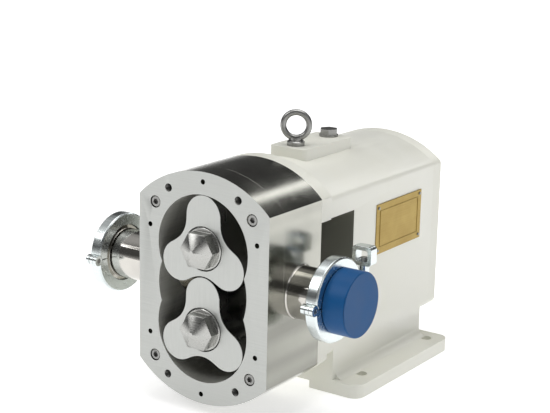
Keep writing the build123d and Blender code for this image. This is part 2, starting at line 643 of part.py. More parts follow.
# ---- drain plug and oil sight glass on the cover, filler plug on the pad ----
with BuildPart() as drain:
    with BuildSketch(facing(COVER_BACK_Y, 0)):
        with Locations((-DRAIN_X, DRAIN_Z)):
            RegularPolygon(9.5, 6, major_radius=False)
    extrude(amount=-7)
    with BuildSketch(facing(COVER_BACK_Y, 0)):
        with Locations((-DRAIN_X, DRAIN_Z)):
            Circle(7)
    extrude(amount=10)
save(drain.part, "drain_plug")
with BuildPart() as sight:
    with BuildSketch(facing(COVER_BACK_Y, 0)):
        with Locations((DRAIN_X, DRAIN_Z + 12)):
            Circle(13)
            Circle(7 + FIT, mode=Mode.SUBTRACT)
    extrude(amount=-5)
    with BuildSketch(facing(COVER_BACK_Y, 0)):
        with Locations((DRAIN_X, DRAIN_Z + 12)):
            Circle(10)
            Circle(7 + FIT, mode=Mode.SUBTRACT)
    extrude(amount=10)
save(sight.part, "sight_glass_rim")
with BuildPart() as lens:
    with BuildSketch(facing(COVER_BACK_Y + 3, 0)):
        with Locations((DRAIN_X, DRAIN_Z + 12)):
            Circle(7)
    extrude(amount=8)
save(lens.part, "sight_glass")
with BuildPart() as filler:
    with BuildSketch(Plane.XY.offset(PAD_TOP_Z)):
        with Locations((0, PLUG_Y)):
            Circle(10)
    extrude(amount=2)
    with BuildSketch(Plane.XY.offset(PAD_TOP_Z + 2)):
        with Locations((0, PLUG_Y)):
            RegularPolygon(8.5, 6, major_radius=False)
    extrude(amount=6)
    with BuildSketch(Plane.XY.offset(PAD_TOP_Z)):
        with Locations((0, PLUG_Y)):
            Circle(7)
    extrude(amount=-10)
save(filler.part, "filler_plug")

# ---- eyebolt ----
EYE_CENTRE_Z = PAD_TOP_Z + EYE_COLLAR_T + 1 + EYE_RING_R + EYE_WIRE_R - 1.5
with BuildPart() as eye:
    with BuildSketch(Plane.XY.offset(PAD_TOP_Z)):
        with Locations((0, EYE_Y)):
            Circle(EYE_COLLAR_R)
    extrude(amount=EYE_COLLAR_T)
    chamfer(eye.edges().group_by(Axis.Z)[-1], 1.2)
    with BuildSketch(Plane.XY.offset(PAD_TOP_Z + EYE_COLLAR_T)):
        with Locations((0, EYE_Y)):
            Circle(5.5)
    extrude(amount=3)
    with BuildSketch(Plane.XY.offset(PAD_TOP_Z)):
        with Locations((0, EYE_Y)):
            Circle(EYE_SHANK_R)
    extrude(amount=-EYE_SHANK_L)
    with Locations(Location((0, EYE_Y, EYE_CENTRE_Z), (0, 0, EYE_TURN)) * Location((0, 0, 0), (90, 0, 0))):
        Torus(EYE_RING_R, EYE_WIRE_R)
save(eye.part, "eyebolt")

# ---- nameplate ----
with BuildPart() as plate:
    with BuildSketch(Plane(origin=(BODY_HALF_W, PLATE_Y, PLATE_Z), x_dir=(0, 1, 0), z_dir=(1, 0, 0))):
        Rectangle(PLATE_L, PLATE_H)
    extrude(amount=PLATE_T)
save(plate.part, "nameplate")
with BuildPart() as rivets:
    with BuildSketch(Plane(origin=(BODY_HALF_W + PLATE_T, PLATE_Y, PLATE_Z), x_dir=(0, 1, 0), z_dir=(1, 0, 0))):
        with GridLocations(PLATE_L - 2 * RIVET_INSET, PLATE_H - 2 * RIVET_INSET, 2, 2):
            Circle(RIVET_R)
    extrude(amount=0.9)
save(rivets.part, "nameplate_rivets")


# ---- ports and clamps, made on the +X side and mirrored ----
def across(x, y=PORT_Y, z=HEAD_Z):
    """A sketch plane across a port at x: local x is Y, local y is Z, extruding goes to +X."""
    return Plane(origin=(x, y, z), x_dir=(0, 1, 0), z_dir=(1, 0, 0))


def port_tube(face):
    """Tube with a tapered ferrule whose face is at x, welded to the rotor case with a small fillet."""
    back_reach = FERRULE_RIM + (FERRULE_R - TUBE_R) * tan(radians(FERRULE_TAPER))
    with BuildPart() as tube:
        with BuildSketch(Plane(origin=(0, PORT_Y, HEAD_Z), x_dir=(1, 0, 0), z_dir=(0, -1, 0))):
            with BuildLine():
                Polyline(
                    (HEAD_HALF_W, TUBE_BORE_R), (face, TUBE_BORE_R), (face, FERRULE_R),
                    (face - FERRULE_RIM, FERRULE_R), (face - back_reach, TUBE_R),
                    (HEAD_HALF_W + 1.2, TUBE_R), (HEAD_HALF_W, TUBE_R + 1.2), close=True,
                )
            make_face()
        revolve(axis=Axis((0, PORT_Y, HEAD_Z), (1, 0, 0)))
    return tube.part


def port_gasket():
    """Flat ring on the ferrule face."""
    with BuildPart() as gasket:
        with BuildSketch(across(FERRULE_X)):
            Circle(FERRULE_R)
            Circle(GASKET_BORE_R, mode=Mode.SUBTRACT)
        extrude(amount=GASKET_T)
    return gasket.part


CLAMP_X = FERRULE_X + GASKET_T / 2


def clamp_half(upper):
    """Half of the hinged clamp: V groove inside, hinge knuckles in front, slotted ear behind."""
    side = 1 if upper else -1
    rim_half = GASKET_T / 2 + FERRULE_RIM + GAP
    groove_r = FERRULE_R + GAP
    lip_half = rim_half + (groove_r - CLAMP_LIP_R) * tan(radians(FERRULE_TAPER))
    with BuildPart() as half:
        with BuildSketch(Plane(origin=(CLAMP_X, PORT_Y, HEAD_Z), x_dir=(1, 0, 0), z_dir=(0, -1, 0))):
            with BuildLine():
                Polyline(
                    (-CLAMP_HALF_W, CLAMP_R - 1.5), (-CLAMP_HALF_W + 1.5, CLAMP_R),
                    (CLAMP_HALF_W - 1.5, CLAMP_R), (CLAMP_HALF_W, CLAMP_R - 1.5),
                    (CLAMP_HALF_W, CLAMP_LIP_R), (lip_half, CLAMP_LIP_R), (rim_half, groove_r),
                    (-rim_half, groove_r), (-lip_half, CLAMP_LIP_R), (-CLAMP_HALF_W, CLAMP_LIP_R),
                    close=True,
                )
            make_face()
        revolve(axis=Axis((0, PORT_Y, HEAD_Z), (1, 0, 0)))
        ear_top = EAR_UP if upper else EAR_DOWN
        with BuildSketch(across(CLAMP_X - CLAMP_HALF_W)):
            with Locations((CLAMP_R - 3, 0)):
                Rectangle(EAR_REACH - CLAMP_R + 3, ear_top,
                          align=(Align.MIN, Align.MIN if upper else Align.MAX))
        extrude(amount=2 * CLAMP_HALF_W)
        # keep this half of the ring and clear the hinge
        with BuildSketch(across(CLAMP_X - CLAMP_HALF_W - 1)):
            with Locations((0, side * CLAMP_SPLIT)):
                Rectangle(3 * CLAMP_R, 2 * CLAMP_R, align=(Align.CENTER, Align.MAX if upper else Align.MIN))
            with Locations((-HINGE_OFF, 0)):
                Circle(KNUCKLE_R + GAP)
        extrude(amount=2 * CLAMP_HALF_W + 2, mode=Mode.SUBTRACT)
        # knuckles: the middle one belongs to the upper half, the outer two to the lower
        outer = CLAMP_HALF_W - KNUCKLE_HALF - GAP
        for start, width in [(-KNUCKLE_HALF, 2 * KNUCKLE_HALF)] if upper else [
            (-CLAMP_HALF_W, outer), (CLAMP_HALF_W - outer, outer)
        ]:
            with BuildSketch(across(CLAMP_X + start)):
                with Locations((-HINGE_OFF, 0)):
                    Circle(KNUCKLE_R)
                with Locations((-HINGE_OFF, 0)):
                    Rectangle(HINGE_OFF - CLAMP_R + 3.5, KNUCKLE_R - 0.3,
                              align=(Align.MIN, Align.MIN if upper else Align.MAX))
            extrude(amount=width)
        with BuildSketch(across(CLAMP_X)):
            with Locations((-HINGE_OFF, 0)):
                Circle(PIN_R + FIT)
        extrude(amount=CLAMP_HALF_W + 1, both=True, mode=Mode.SUBTRACT)
        # slot for the swing bolt, and its pin hole in the lower ear
        with BuildSketch(across(CLAMP_X)):
            with Locations((CLAMP_R + 0.8, 0)):
                Rectangle(EAR_REACH, 3 * EAR_DOWN, align=(Align.MIN, Align.CENTER))
        extrude(amount=SLOT_HALF, both=True, mode=Mode.SUBTRACT)
        with BuildSketch(across(CLAMP_X)):
            if upper:
                # the ear's outer top is rounded about the bolt pin so that the nut swings clear of it
                with Locations((BOLT_OFF, BOLT_PIVOT_Z)):
                    Rectangle(2 * EAR_REACH, 2 * EAR_REACH, align=(Align.MIN, Align.MIN))
                    Circle(EAR_UP - BOLT_PIVOT_Z, mode=Mode.SUBTRACT)
            else:
                with Locations((BOLT_OFF, BOLT_PIVOT_Z)):
                    Circle(PIN_R + FIT)
        extrude(amount=CLAMP_HALF_W + 1, both=True, mode=Mode.SUBTRACT)
    return half.part


def cross_pin(offset, height):
    """Pin along X through the clamp."""
    with BuildPart() as pin:
        with BuildSketch(across(CLAMP_X)):
            with Locations((offset, height)):
                Circle(PIN_R)
        extrude(amount=CLAMP_HALF_W - 0.2, both=True)
    return pin.part


def swing_bolt():
    """Eye on the pin and a threaded rod standing up through the ears."""
    with BuildPart() as bolt:
        with BuildSketch(across(CLAMP_X)):
            with Locations((BOLT_OFF, BOLT_PIVOT_Z)):
                Circle(BOLT_EYE_R)
        extrude(amount=SLOT_HALF - GAP, both=True)
        with BuildSketch(Plane.XY.offset(HEAD_Z + BOLT_PIVOT_Z)):
            with Locations((CLAMP_X, PORT_Y + BOLT_OFF)):
                Circle(BOLT_R)
        extrude(amount=BOLT_TOP - BOLT_PIVOT_Z)
        with BuildSketch(across(CLAMP_X)):
            with Locations((BOLT_OFF, BOLT_PIVOT_Z)):
                Circle(PIN_R + FIT)
        extrude(amount=SLOT_HALF, both=True, mode=Mode.SUBTRACT)
    return bolt.part


def wing_nut():
    """Round neck on the upper ear under a closed finger loop."""
    neck_z = HEAD_Z + EAR_UP + GAP
    loop_z = HEAD_Z + LOOP_Z
    with BuildPart() as nut:
        with BuildSketch(Plane.XY.offset(neck_z)):
            with Locations((CLAMP_X, PORT_Y + BOLT_OFF)):
                Circle(NUT_NECK_R)
        extrude(amount=loop_z - neck_z + 1)
        with BuildSketch(facing(PORT_Y + BOLT_OFF, loop_z)):
            with Locations((CLAMP_X, LOOP_H / 2)):
                RectangleRounded(LOOP_W, LOOP_H, 3.5)
            with Locations((CLAMP_X, LOOP_H / 2)):
                RectangleRounded(LOOP_W - 2 * LOOP_BAR, LOOP_H - 2 * LOOP_BAR, 2, mode=Mode.SUBTRACT)
        extrude(amount=LOOP_D / 2, both=True)
        with BuildSketch(Plane.XY.offset(neck_z)):
            with Locations((CLAMP_X, PORT_Y + BOLT_OFF)):
                Circle(BOLT_R + FIT)
        extrude(amount=LOOP_Z - EAR_UP + LOOP_BAR, mode=Mode.SUBTRACT)
    return nut.part


save(port_tube(FERRULE_X), "right_port")
save(mirror(port_tube(FERRULE_X + LEFT_REACH), about=Plane.YZ), "left_port")
for side in ("right", "left"):
    for piece, name in (
        (port_gasket(), "gasket"),
        (clamp_half(False), "clamp_lower"),
        (clamp_half(True), "clamp_upper"),
        (cross_pin(-HINGE_OFF, 0), "hinge_pin"),
        (cross_pin(BOLT_OFF, BOLT_PIVOT_Z), "bolt_pin"),
        (swing_bolt(), "swing_bolt"),
        (wing_nut(), "wing_nut"),
    ):
        if side == "left":
            piece = mirror(piece, about=Plane.YZ).moved(Location((-LEFT_REACH, 0, 0)))
        save(piece, f"{side}_{name}")

# ---- push-in port plug on the right ----
CAP_X = FERRULE_X + GASKET_T
CAP_HEAD_X = CLAMP_X + CLAMP_HALF_W + GAP
with BuildPart() as cap:
    with BuildSketch(across(CAP_HEAD_X)):
        Circle(CAP_R)
    extrude(amount=CAP_X + CAP_LEN - CAP_HEAD_X)
    chamfer(cap.edges().group_by(Axis.X)[-1], 0.8)
    with BuildSketch(across(CAP_X)):
        Circle(CAP_NECK_R)
    extrude(amount=CAP_HEAD_X - CAP_X)
    with BuildSketch(across(CAP_X)):
        Circle(CAP_STEM_R)
    extrude(amount=-CAP_STEM_LEN)
    with BuildSketch(across(CAP_X - CAP_STEM_LEN)):
        Circle(CAP_HOLLOW_R)
    extrude(amount=CAP_STEM_LEN + CAP_LEN - 4, mode=Mode.SUBTRACT)
save(cap.part, "port_plug")
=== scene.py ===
"""Rotary lobe pump dressed for rendering: a stainless head with open rotors, clamped ports and a painted gearbox."""
import logging
import math
from dataclasses import dataclass
from enum import Enum
from typing import Callable, Sequence

import bmesh
import bpy
from mathutils import Matrix, Vector


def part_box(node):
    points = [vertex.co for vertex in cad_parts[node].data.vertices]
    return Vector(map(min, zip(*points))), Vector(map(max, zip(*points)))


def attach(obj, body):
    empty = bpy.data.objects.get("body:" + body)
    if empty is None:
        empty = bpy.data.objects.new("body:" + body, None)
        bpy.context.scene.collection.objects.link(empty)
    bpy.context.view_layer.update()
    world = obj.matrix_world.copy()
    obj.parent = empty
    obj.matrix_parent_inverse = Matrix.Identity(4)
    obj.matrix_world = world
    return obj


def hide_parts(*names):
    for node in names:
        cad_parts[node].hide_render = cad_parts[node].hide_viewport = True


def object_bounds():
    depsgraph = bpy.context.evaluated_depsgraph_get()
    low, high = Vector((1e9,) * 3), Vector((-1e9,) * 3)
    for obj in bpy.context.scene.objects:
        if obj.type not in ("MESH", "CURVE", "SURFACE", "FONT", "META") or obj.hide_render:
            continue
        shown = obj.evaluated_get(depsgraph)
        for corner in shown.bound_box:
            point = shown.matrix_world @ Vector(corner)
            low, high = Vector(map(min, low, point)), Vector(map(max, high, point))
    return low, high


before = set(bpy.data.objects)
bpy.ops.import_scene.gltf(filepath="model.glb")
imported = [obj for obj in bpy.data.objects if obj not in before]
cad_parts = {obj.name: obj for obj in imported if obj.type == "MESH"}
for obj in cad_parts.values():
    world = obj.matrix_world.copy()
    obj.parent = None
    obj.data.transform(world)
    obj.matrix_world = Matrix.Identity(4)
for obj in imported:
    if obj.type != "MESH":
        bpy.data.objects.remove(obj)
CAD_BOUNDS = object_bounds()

log = logging.getLogger("lobe_pump")
MM = 0.001

# Places shared with the solids, in millimetres.
HEAD_Z = 125.0
FRONT_Y, HEAD_BACK_Y = -225.0, -137.0
CAVITY_R, CAVITY_BACK_Y = 52.5, -148.0

# How a solid's mesh is joined and smoothed.
MERGE_M = 2e-6
FLAT_DEGREES = 0.4
SHARP_DEGREES = 32.0
BEVEL_DEGREES = 30.0


class Axis3(Enum):
    """The way a brushed or ground finish runs."""

    X = 0
    Y = 1
    Z = 2


class Side(Enum):
    """The two port sides of the head."""

    RIGHT = 1
    LEFT = -1

    @property
    def word(self) -> str:
        """The side's name as used in node names."""
        return self.name.lower()


# ---------------------------------------------------------------- materials
class Graph:
    """Small helper that adds and links shader nodes."""

    def __init__(self, name: str) -> None:
        """Start an empty material called name."""
        self.material = bpy.data.materials.new(name)
        self.material.use_nodes = True
        self.tree = self.material.node_tree
        self.shader = self.tree.nodes["Principled BSDF"]
        self.coords = self.tree.nodes.new("ShaderNodeTexCoord")

    def node(self, kind: str, inputs: dict | None = None, **props: object) -> bpy.types.Node:
        """Add a node.

        Args:
            kind: Blender's node type name.
            inputs: socket name or index to a value or to a socket to link from.
            **props: attributes set on the node first.

        Returns:
            The new node.
        """
        made = self.tree.nodes.new(kind)
        for key, value in props.items():
            setattr(made, key, value)
        for key, value in (inputs or {}).items():
            if isinstance(value, bpy.types.NodeSocket):
                self.tree.links.new(value, made.inputs[key])
            else:
                made.inputs[key].default_value = value
        return made

    def noise(self, scale: float, stretch: Sequence[float] = (1, 1, 1), detail: float = 4.0,
              rough: float = 0.55) -> bpy.types.NodeSocket:
        """Noise on object coordinates.

        Args:
            scale: lumps per metre.
            stretch: factor along each axis, small values draw the lumps out.
            detail: octaves.
            rough: strength of the finer octaves.

        Returns:
            The noise's value socket.
        """
        mapping = self.node("ShaderNodeMapping", {"Vector": self.coords.outputs["Object"], "Scale": tuple(stretch)})
        texture = self.node("ShaderNodeTexNoise", {
            "Vector": mapping.outputs[0], "Scale": scale, "Detail": detail, "Roughness": rough})
        return texture.outputs["Fac"]

    def span(self, value: bpy.types.NodeSocket, low: float, high: float,
             source: tuple[float, float] = (0.3, 0.7)) -> bpy.types.NodeSocket:
        """Spread part of a value's range over another.

        Args:
            value: the socket to read.
            low: result at the start of source.
            high: result at the end of source.
            source: the part of the value's range that is spread.

        Returns:
            The result's socket.
        """
        made = self.node("ShaderNodeMapRange", {
            "Value": value, "From Min": source[0], "From Max": source[1], "To Min": low, "To Max": high})
        return made.outputs["Result"]

    def mix(self, factor: bpy.types.NodeSocket, first: Sequence[float] | bpy.types.NodeSocket,
            second: Sequence[float] | bpy.types.NodeSocket) -> bpy.types.NodeSocket:
        """Blend two colours.

        Args:
            factor: 0 for the first, 1 for the second.
            first: a colour or a colour socket.
            second: a colour or a colour socket.

        Returns:
            The blended colour's socket.
        """
        made = self.node("ShaderNodeMix", data_type="RGBA")
        self.tree.links.new(factor, made.inputs[0])
        for index, colour in ((6, first), (7, second)):
            if isinstance(colour, bpy.types.NodeSocket):
                self.tree.links.new(colour, made.inputs[index])
            else:
                made.inputs[index].default_value = (*colour, 1.0)
        return made.outputs[2]

    def bump(self, height: bpy.types.NodeSocket, depth_mm: float, strength: float = 1.0,
             normal: bpy.types.NodeSocket | None = None) -> bpy.types.NodeSocket:
        """Raise a height map.

        Args:
            height: the map's socket.
            depth_mm: height of the map's full range.
            strength: share of the bump that shows.
            normal: a normal to start from.

        Returns:
            The bumped normal's socket.
        """
        inputs: dict = {"Height": height, "Distance": depth_mm * MM, "Strength": strength}
        if normal is not None:
            inputs["Normal"] = normal
        return self.node("ShaderNodeBump", inputs).outputs["Normal"]

    def set(self, **values: object) -> None:
        """Set or link the shader's inputs.

        Args:
            **values: input names, with underscores for spaces, to values or sockets.
        """
        for key, value in values.items():
            socket = self.shader.inputs[key.replace("_", " ")]
            if isinstance(value, bpy.types.NodeSocket):
                self.tree.links.new(value, socket)
            else:
                socket.default_value = value


@dataclass(frozen=True)
class GroundSteel:
    """Ground or brushed stainless steel with fine drawn-out grain."""

    name: str
    tone: tuple[float, float, float]
    roughness: tuple[float, float] = (0.28, 0.40)
    grain: Axis3 = Axis3.X
    grain_scale: float = 900.0
    depth_mm: float = 0.004
    smudge: float = 0.06
    metal: float = 1.0

    def build(self) -> bpy.types.Material:
        """Make the material."""
        g = Graph(self.name)
        stretch = [1.0, 1.0, 1.0]
        stretch[self.grain.value] = 0.02
        fine = g.noise(self.grain_scale, stretch, 5.0, 0.6)
        patch = g.noise(14.0, (1, 1, 1), 3.0)
        dark = tuple(c * (1.0 - 2.2 * self.smudge) for c in self.tone)
        light = tuple(min(1.0, c * (1.0 + self.smudge)) for c in self.tone)
        grain_colour = g.mix(g.span(fine, 0.0, 1.0), dark, light)
        g.set(Base_Color=g.mix(g.span(patch, 0.0, 0.5), grain_colour, self.tone), Metallic=self.metal,
              Roughness=g.span(fine, *self.roughness), Normal=g.bump(fine, self.depth_mm))
        return g.material


@dataclass(frozen=True)
class ThreadedSteel:
    """Steel rod along Z with a rolled thread, its roots darkened as painted shade."""

    name: str
    tone: tuple[float, float, float]
    pitch_mm: float = 1.0
    waves_per_unit: float = 0.314
    depth_mm: float = 0.45

    def build(self) -> bpy.types.Material:
        """Make the material."""
        g = Graph(self.name)
        wave = g.node(
            "ShaderNodeTexWave",
            {"Vector": g.coords.outputs["Object"], "Scale": self.waves_per_unit / (self.pitch_mm * MM)},
            bands_direction="Z", wave_profile="TRI")
        grime = g.noise(160.0, (1, 1, 1), 4.0)
        # Thread roots are darker than the crests: painted shade in the grooves.
        dark = tuple(c * 0.55 for c in self.tone)
        colour = g.mix(wave.outputs["Fac"], dark, self.tone)
        g.set(Base_Color=colour, Metallic=1.0, Roughness=g.span(grime, 0.28, 0.42),
              Normal=g.bump(wave.outputs["Fac"], self.depth_mm))
        return g.material


@dataclass(frozen=True)
class PolishedSteel:
    """Polished stainless with faint handling marks and horizontal darker bands, partly brush marks and partly
    painted reflection.
    """

    name: str
    tone: tuple[float, float, float]
    roughness: tuple[float, float] = (0.08, 0.16)
    # Tone factor of the dark horizontal bands, which are partly brush marks and partly painted reflection.
    brush_and_reflection_banding: float = 0.86

    def build(self) -> bpy.types.Material:
        """Make the material."""
        g = Graph(self.name)
        haze = g.noise(35.0, (1, 1, 1), 5.0)
        lines = g.noise(700.0, (1, 0.03, 1), 3.0)
        # Horizontal bands of darker tone: partly brush bands, partly painted reflection of the surroundings.
        bands = g.noise(17.0, (1, 0.06, 1), 2.0)
        dull = g.mix(g.span(haze, 0.0, 1.0), tuple(c * 0.88 for c in self.tone), self.tone)
        dark = tuple(c * self.brush_and_reflection_banding for c in self.tone)
        g.set(Base_Color=g.mix(g.span(bands, 0.0, 1.0, (0.35, 0.6)), dark, dull), Metallic=1.0,
              Roughness=g.span(haze, *self.roughness), Normal=g.bump(lines, 0.002, 0.6))
        return g.material


@dataclass(frozen=True)
class CastPaint:
    """Semi-gloss paint over a fettled casting."""

    name: str
    tone: tuple[float, float, float]
    roughness: tuple[float, float] = (0.30, 0.42)
    peel_mm: float = 0.05

    def build(self) -> bpy.types.Material:
        """Make the material."""
        g = Graph(self.name)
        peel = g.noise(420.0, (1, 1, 1), 2.0)
        lumps = g.noise(60.0, (1, 1, 1), 3.0)
        shade = g.noise(9.0, (1, 1, 1), 4.0)
        warm = tuple(c * f for c, f in zip(self.tone, (0.985, 0.98, 0.95)))
        g.set(Base_Color=g.mix(g.span(shade, 0.0, 1.0), self.tone, warm), Roughness=g.span(lumps, *self.roughness),
              Coat_Weight=0.15, Coat_Roughness=0.2,
              Normal=g.bump(peel, self.peel_mm, 0.25, g.bump(lumps, 0.25, 0.35)))
        return g.material


@dataclass(frozen=True)
class EtchedBrass:
    """Brushed brass sheet with tarnish in patches."""

    name: str
    tone: tuple[float, float, float]

    def build(self) -> bpy.types.Material:
        """Make the material."""
        g = Graph(self.name)
        brush = g.noise(1100.0, (1, 0.02, 1), 4.0)
        tarnish = g.noise(28.0, (1, 1, 1), 5.0, 0.65)
        dull = tuple(c * f for c, f in zip(self.tone, (0.78, 0.72, 0.62)))
        colour = g.mix(g.span(tarnish, 0.0, 0.8), self.tone, dull)
        g.set(Base_Color=colour, Metallic=1.0, Roughness=g.span(brush, 0.34, 0.5), Normal=g.bump(brush, 0.006))
        return g.material


@dataclass(frozen=True)
class MouldedPlastic:
    """Moulded plastic with a fine matt skin."""

    name: str
    tone: tuple[float, float, float]
    roughness: tuple[float, float] = (0.38, 0.5)

    def build(self) -> bpy.types.Material:
        """Make the material."""
        g = Graph(self.name)
        skin = g.noise(1600.0, (1, 1, 1), 2.0)
        flow = g.noise(40.0, (0.3, 1, 1), 3.0)
        pale = tuple(min(1.0, c * 1.18 + 0.004) for c in self.tone)
        g.set(Base_Color=g.mix(g.span(flow, 0.0, 0.6), self.tone, pale), Roughness=g.span(flow, *self.roughness),
              Specular_IOR_Level=0.22, Normal=g.bump(skin, 0.02, 0.3))
        return g.material


@dataclass(frozen=True)
class SealRubber:
    """Moulded rubber or gasket sheet."""

    name: str
    tone: tuple[float, float, float]

    def build(self) -> bpy.types.Material:
        """Make the material."""
        g = Graph(self.name)
        dust = g.noise(120.0, (1, 1, 1), 4.0)
        pale = tuple(min(1.0, c * 1.35 + 0.01) for c in self.tone)
        g.set(Base_Color=g.mix(g.span(dust, 0.0, 1.0), self.tone, pale), Roughness=g.span(dust, 0.5, 0.7),
              Normal=g.bump(dust, 0.03, 0.3))
        return g.material


@dataclass(frozen=True)
class SightGlass:
    """Clear glass of the oil window."""

    name: str

    def build(self) -> bpy.types.Material:
        """Make the material."""
        g = Graph(self.name)
        smear = g.noise(90.0, (1, 1, 1), 3.0)
        g.set(Base_Color=(0.85, 0.9, 0.86, 1.0), Transmission_Weight=0.9, IOR=1.48,
              Roughness=g.span(smear, 0.02, 0.08))
        return g.material


@dataclass(frozen=True)
class StudioFloor:
    """Pale seamless floor."""

    name: str = "studio_floor"
    near_glow: float = 0.55
    far_glow: float = 0.90

    def build(self) -> bpy.types.Material:
        """Make the material."""
        g = Graph(self.name)
        mottled = g.noise(3.0, (1, 1, 1), 2.0)
        away = g.node("ShaderNodeVectorMath", {0: g.coords.outputs["Object"]}, operation="LENGTH")
        glow = g.span(away.outputs["Value"], self.near_glow, self.far_glow, (0.3, 2.2))
        g.set(Base_Color=g.mix(g.span(mottled, 0.0, 1.0), (0.82, 0.82, 0.82), (0.80, 0.80, 0.80)),
              Roughness=0.9, Specular_IOR_Level=0.1, Emission_Color=(1.0, 1.0, 1.0, 1.0), Emission_Strength=glow)
        return g.material


class Finishes:
    """Every finish of the pump, built once."""

    def __init__(self) -> None:
        """Build the materials."""
        self.face = GroundSteel("ground_face_steel", (0.51, 0.52, 0.50), (0.40, 0.50), Axis3.X, 1300.0, 0.003,
                                0.05).build()
        # The head's sides take deep dark bands: mostly painted reflection, with some brush banding.
        self.flank = PolishedSteel("polished_flank_steel", (0.50, 0.50, 0.45), (0.13, 0.21), 0.52).build()
        # The chamber walls get a lighter, partly diffuse copy of the head steel: painted light lifting them out of
        # the chamber's shade.
        self.chamber = GroundSteel("chamber_steel_painted_light", (0.86, 0.86, 0.79), (0.38, 0.54), Axis3.Y, 700.0, 0.006,
                                   0.05, 0.7).build()
        self.rotor = GroundSteel("rotor_steel", (0.52, 0.53, 0.51), (0.38, 0.48), Axis3.Z, 1500.0, 0.003,
                                 0.06).build()
        # The lobe sides get a copy of the rotor steel half as light as its face: painted shade on the sides inside
        # the chamber.
        self.rotor_flank = PolishedSteel("rotor_flank_painted_shade_steel", (0.25, 0.25, 0.24), (0.2, 0.3)).build()
        self.nut = GroundSteel("rotor_nut_steel", (0.47, 0.47, 0.45), (0.24, 0.34), Axis3.X, 1200.0, 0.0006,
                               0.05).build()
        self.tube = PolishedSteel("polished_tube_steel", (0.62, 0.60, 0.56), (0.07, 0.14)).build()
        self.clamp = GroundSteel("tumbled_clamp_steel", (0.74, 0.79, 0.79), (0.18, 0.30), Axis3.X, 300.0, 0.006,
                                 0.04).build()
        self.fastener = GroundSteel("fastener_steel", (0.30, 0.30, 0.29), (0.25, 0.4), Axis3.Z, 500.0, 0.01,
                                    0.08).build()
        self.thread = ThreadedSteel("threaded_steel", (0.45, 0.45, 0.44)).build()
        # Near-black steel for the threads: painted shade inside the tapped holes.
        self.hole = GroundSteel("tapped_hole_painted_shade", (0.13, 0.13, 0.125), (0.3, 0.45), Axis3.Y, 600.0,
                                0.006).build()
        self.shaft = GroundSteel("shaft_steel", (0.50, 0.50, 0.49), (0.22, 0.34), Axis3.X, 900.0, 0.004,
                                 0.06).build()
        self.paint = CastPaint("cream_casting_paint", (0.80, 0.80, 0.735)).build()
        # Dark tone for the walls of the seal bay and hollow body: painted shade inside the housing.
        self.inside = CastPaint("bay_wall_painted_shade", (0.20, 0.20, 0.165), (0.5, 0.6)).build()
        self.brass = EtchedBrass("etched_brass", (0.43, 0.315, 0.10)).build()
        self.plug = MouldedPlastic("blue_moulding", (0.002, 0.07, 0.215)).build()
        self.seal = SealRubber("black_seal_rubber", (0.03, 0.03, 0.03)).build()
        self.gasket = SealRubber("white_gasket_rubber", (0.72, 0.72, 0.70)).build()
        self.glass = SightGlass("oil_sight_glass").build()
        self.floor = StudioFloor().build()


# ---------------------------------------------------------------- mesh helpers
Region = Callable[[Vector, Vector], bool]


def link(name: str, mesh: bpy.types.Mesh) -> bpy.types.Object:
    """Put a mesh in the scene as an object at the origin."""
    made = bpy.data.objects.new(name, mesh)
    bpy.context.scene.collection.objects.link(made)
    return made


def finish_mesh(name: str, bm: bmesh.types.BMesh) -> bpy.types.Object:
    """Turn a bmesh into a smooth-shaded object.

    Args:
        name: the object's name.
        bm: the shape in metres; it is freed.

    Returns:
        The object.
    """
    bmesh.ops.recalc_face_normals(bm, faces=bm.faces)
    mesh = bpy.data.meshes.new(name)
    bm.to_mesh(mesh)
    bm.free()
    for polygon in mesh.polygons:
        polygon.use_smooth = True
    mesh.set_sharp_from_angle(angle=math.radians(SHARP_DEGREES))
    return link(name, mesh)


def soften(piece: bpy.types.Object, width_mm: float, segments: int = 3) -> None:
    """Round a piece's edges with a live bevel and even out its shading.

    Args:
        piece: the object.
        width_mm: edge radius.
        segments: bevel segments.
    """
    bevel = piece.modifiers.new("edge_round", "BEVEL")
    bevel.width = width_mm * MM
    bevel.segments = segments
    bevel.limit_method = "ANGLE"
    bevel.angle_limit = math.radians(BEVEL_DEGREES)
    bevel.harden_normals = True
    bevel.use_clamp_overlap = True
    bevel.miter_outer = "MITER_ARC"


def settle(piece: bpy.types.Object, body: str, slot: str, materials: Sequence[bpy.types.Material],
           *nodes: str) -> bpy.types.Object:
    """Dress a piece and tie it to the part.

    Args:
        piece: the object.
        body: the body it rides on.
        slot: the record's material slot; not used.
        materials: its finishes, in slot order.
        *nodes: the solids' nodes that it stands for.

    Returns:
        The same piece.
    """
    for material in materials:
        piece.data.materials.append(material)
    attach(piece, body)
    if nodes:
        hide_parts(*nodes)
    log.info("made %s on %s", piece.name, body)
    return piece


def skin(node: str, body: str, slot: str, materials: Sequence[bpy.types.Material], width_mm: float = 0.5,
         segments: int = 3, regions: Sequence[Region] = (), joined: bool = True) -> bpy.types.Object:
    """A finished copy of a solid: merged, planar faces joined, edges rounded.

    Args:
        node: the solid's node.
        body: the body it rides on.
        slot: the record's material slot; passed to settle, which doesn't use it.
        materials: the main finish, then one for each region.
        width_mm: edge radius.
        segments: bevel segments.
        regions: tests of a face's centre and normal, in millimetres.
        joined: whether planar faces are joined first; a wide face with holes can tear if they are.

    Returns:
        The new piece.
    """
    bm = bmesh.new()
    bm.from_mesh(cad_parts[node].data)
    bmesh.ops.remove_doubles(bm, verts=bm.verts, dist=MERGE_M)
    if joined:
        bmesh.ops.dissolve_limit(bm, angle_limit=math.radians(FLAT_DEGREES), verts=bm.verts, edges=bm.edges)
    for face in bm.faces:
        centre = face.calc_center_median() / MM
        face.material_index = 0
        for index, test in enumerate(regions):
            if test(centre, face.normal):
                face.material_index = index + 1
    piece = finish_mesh(node + "_finished", bm)
    if width_mm:
        soften(piece, width_mm, segments)
    return settle(piece, body, slot, materials, node)


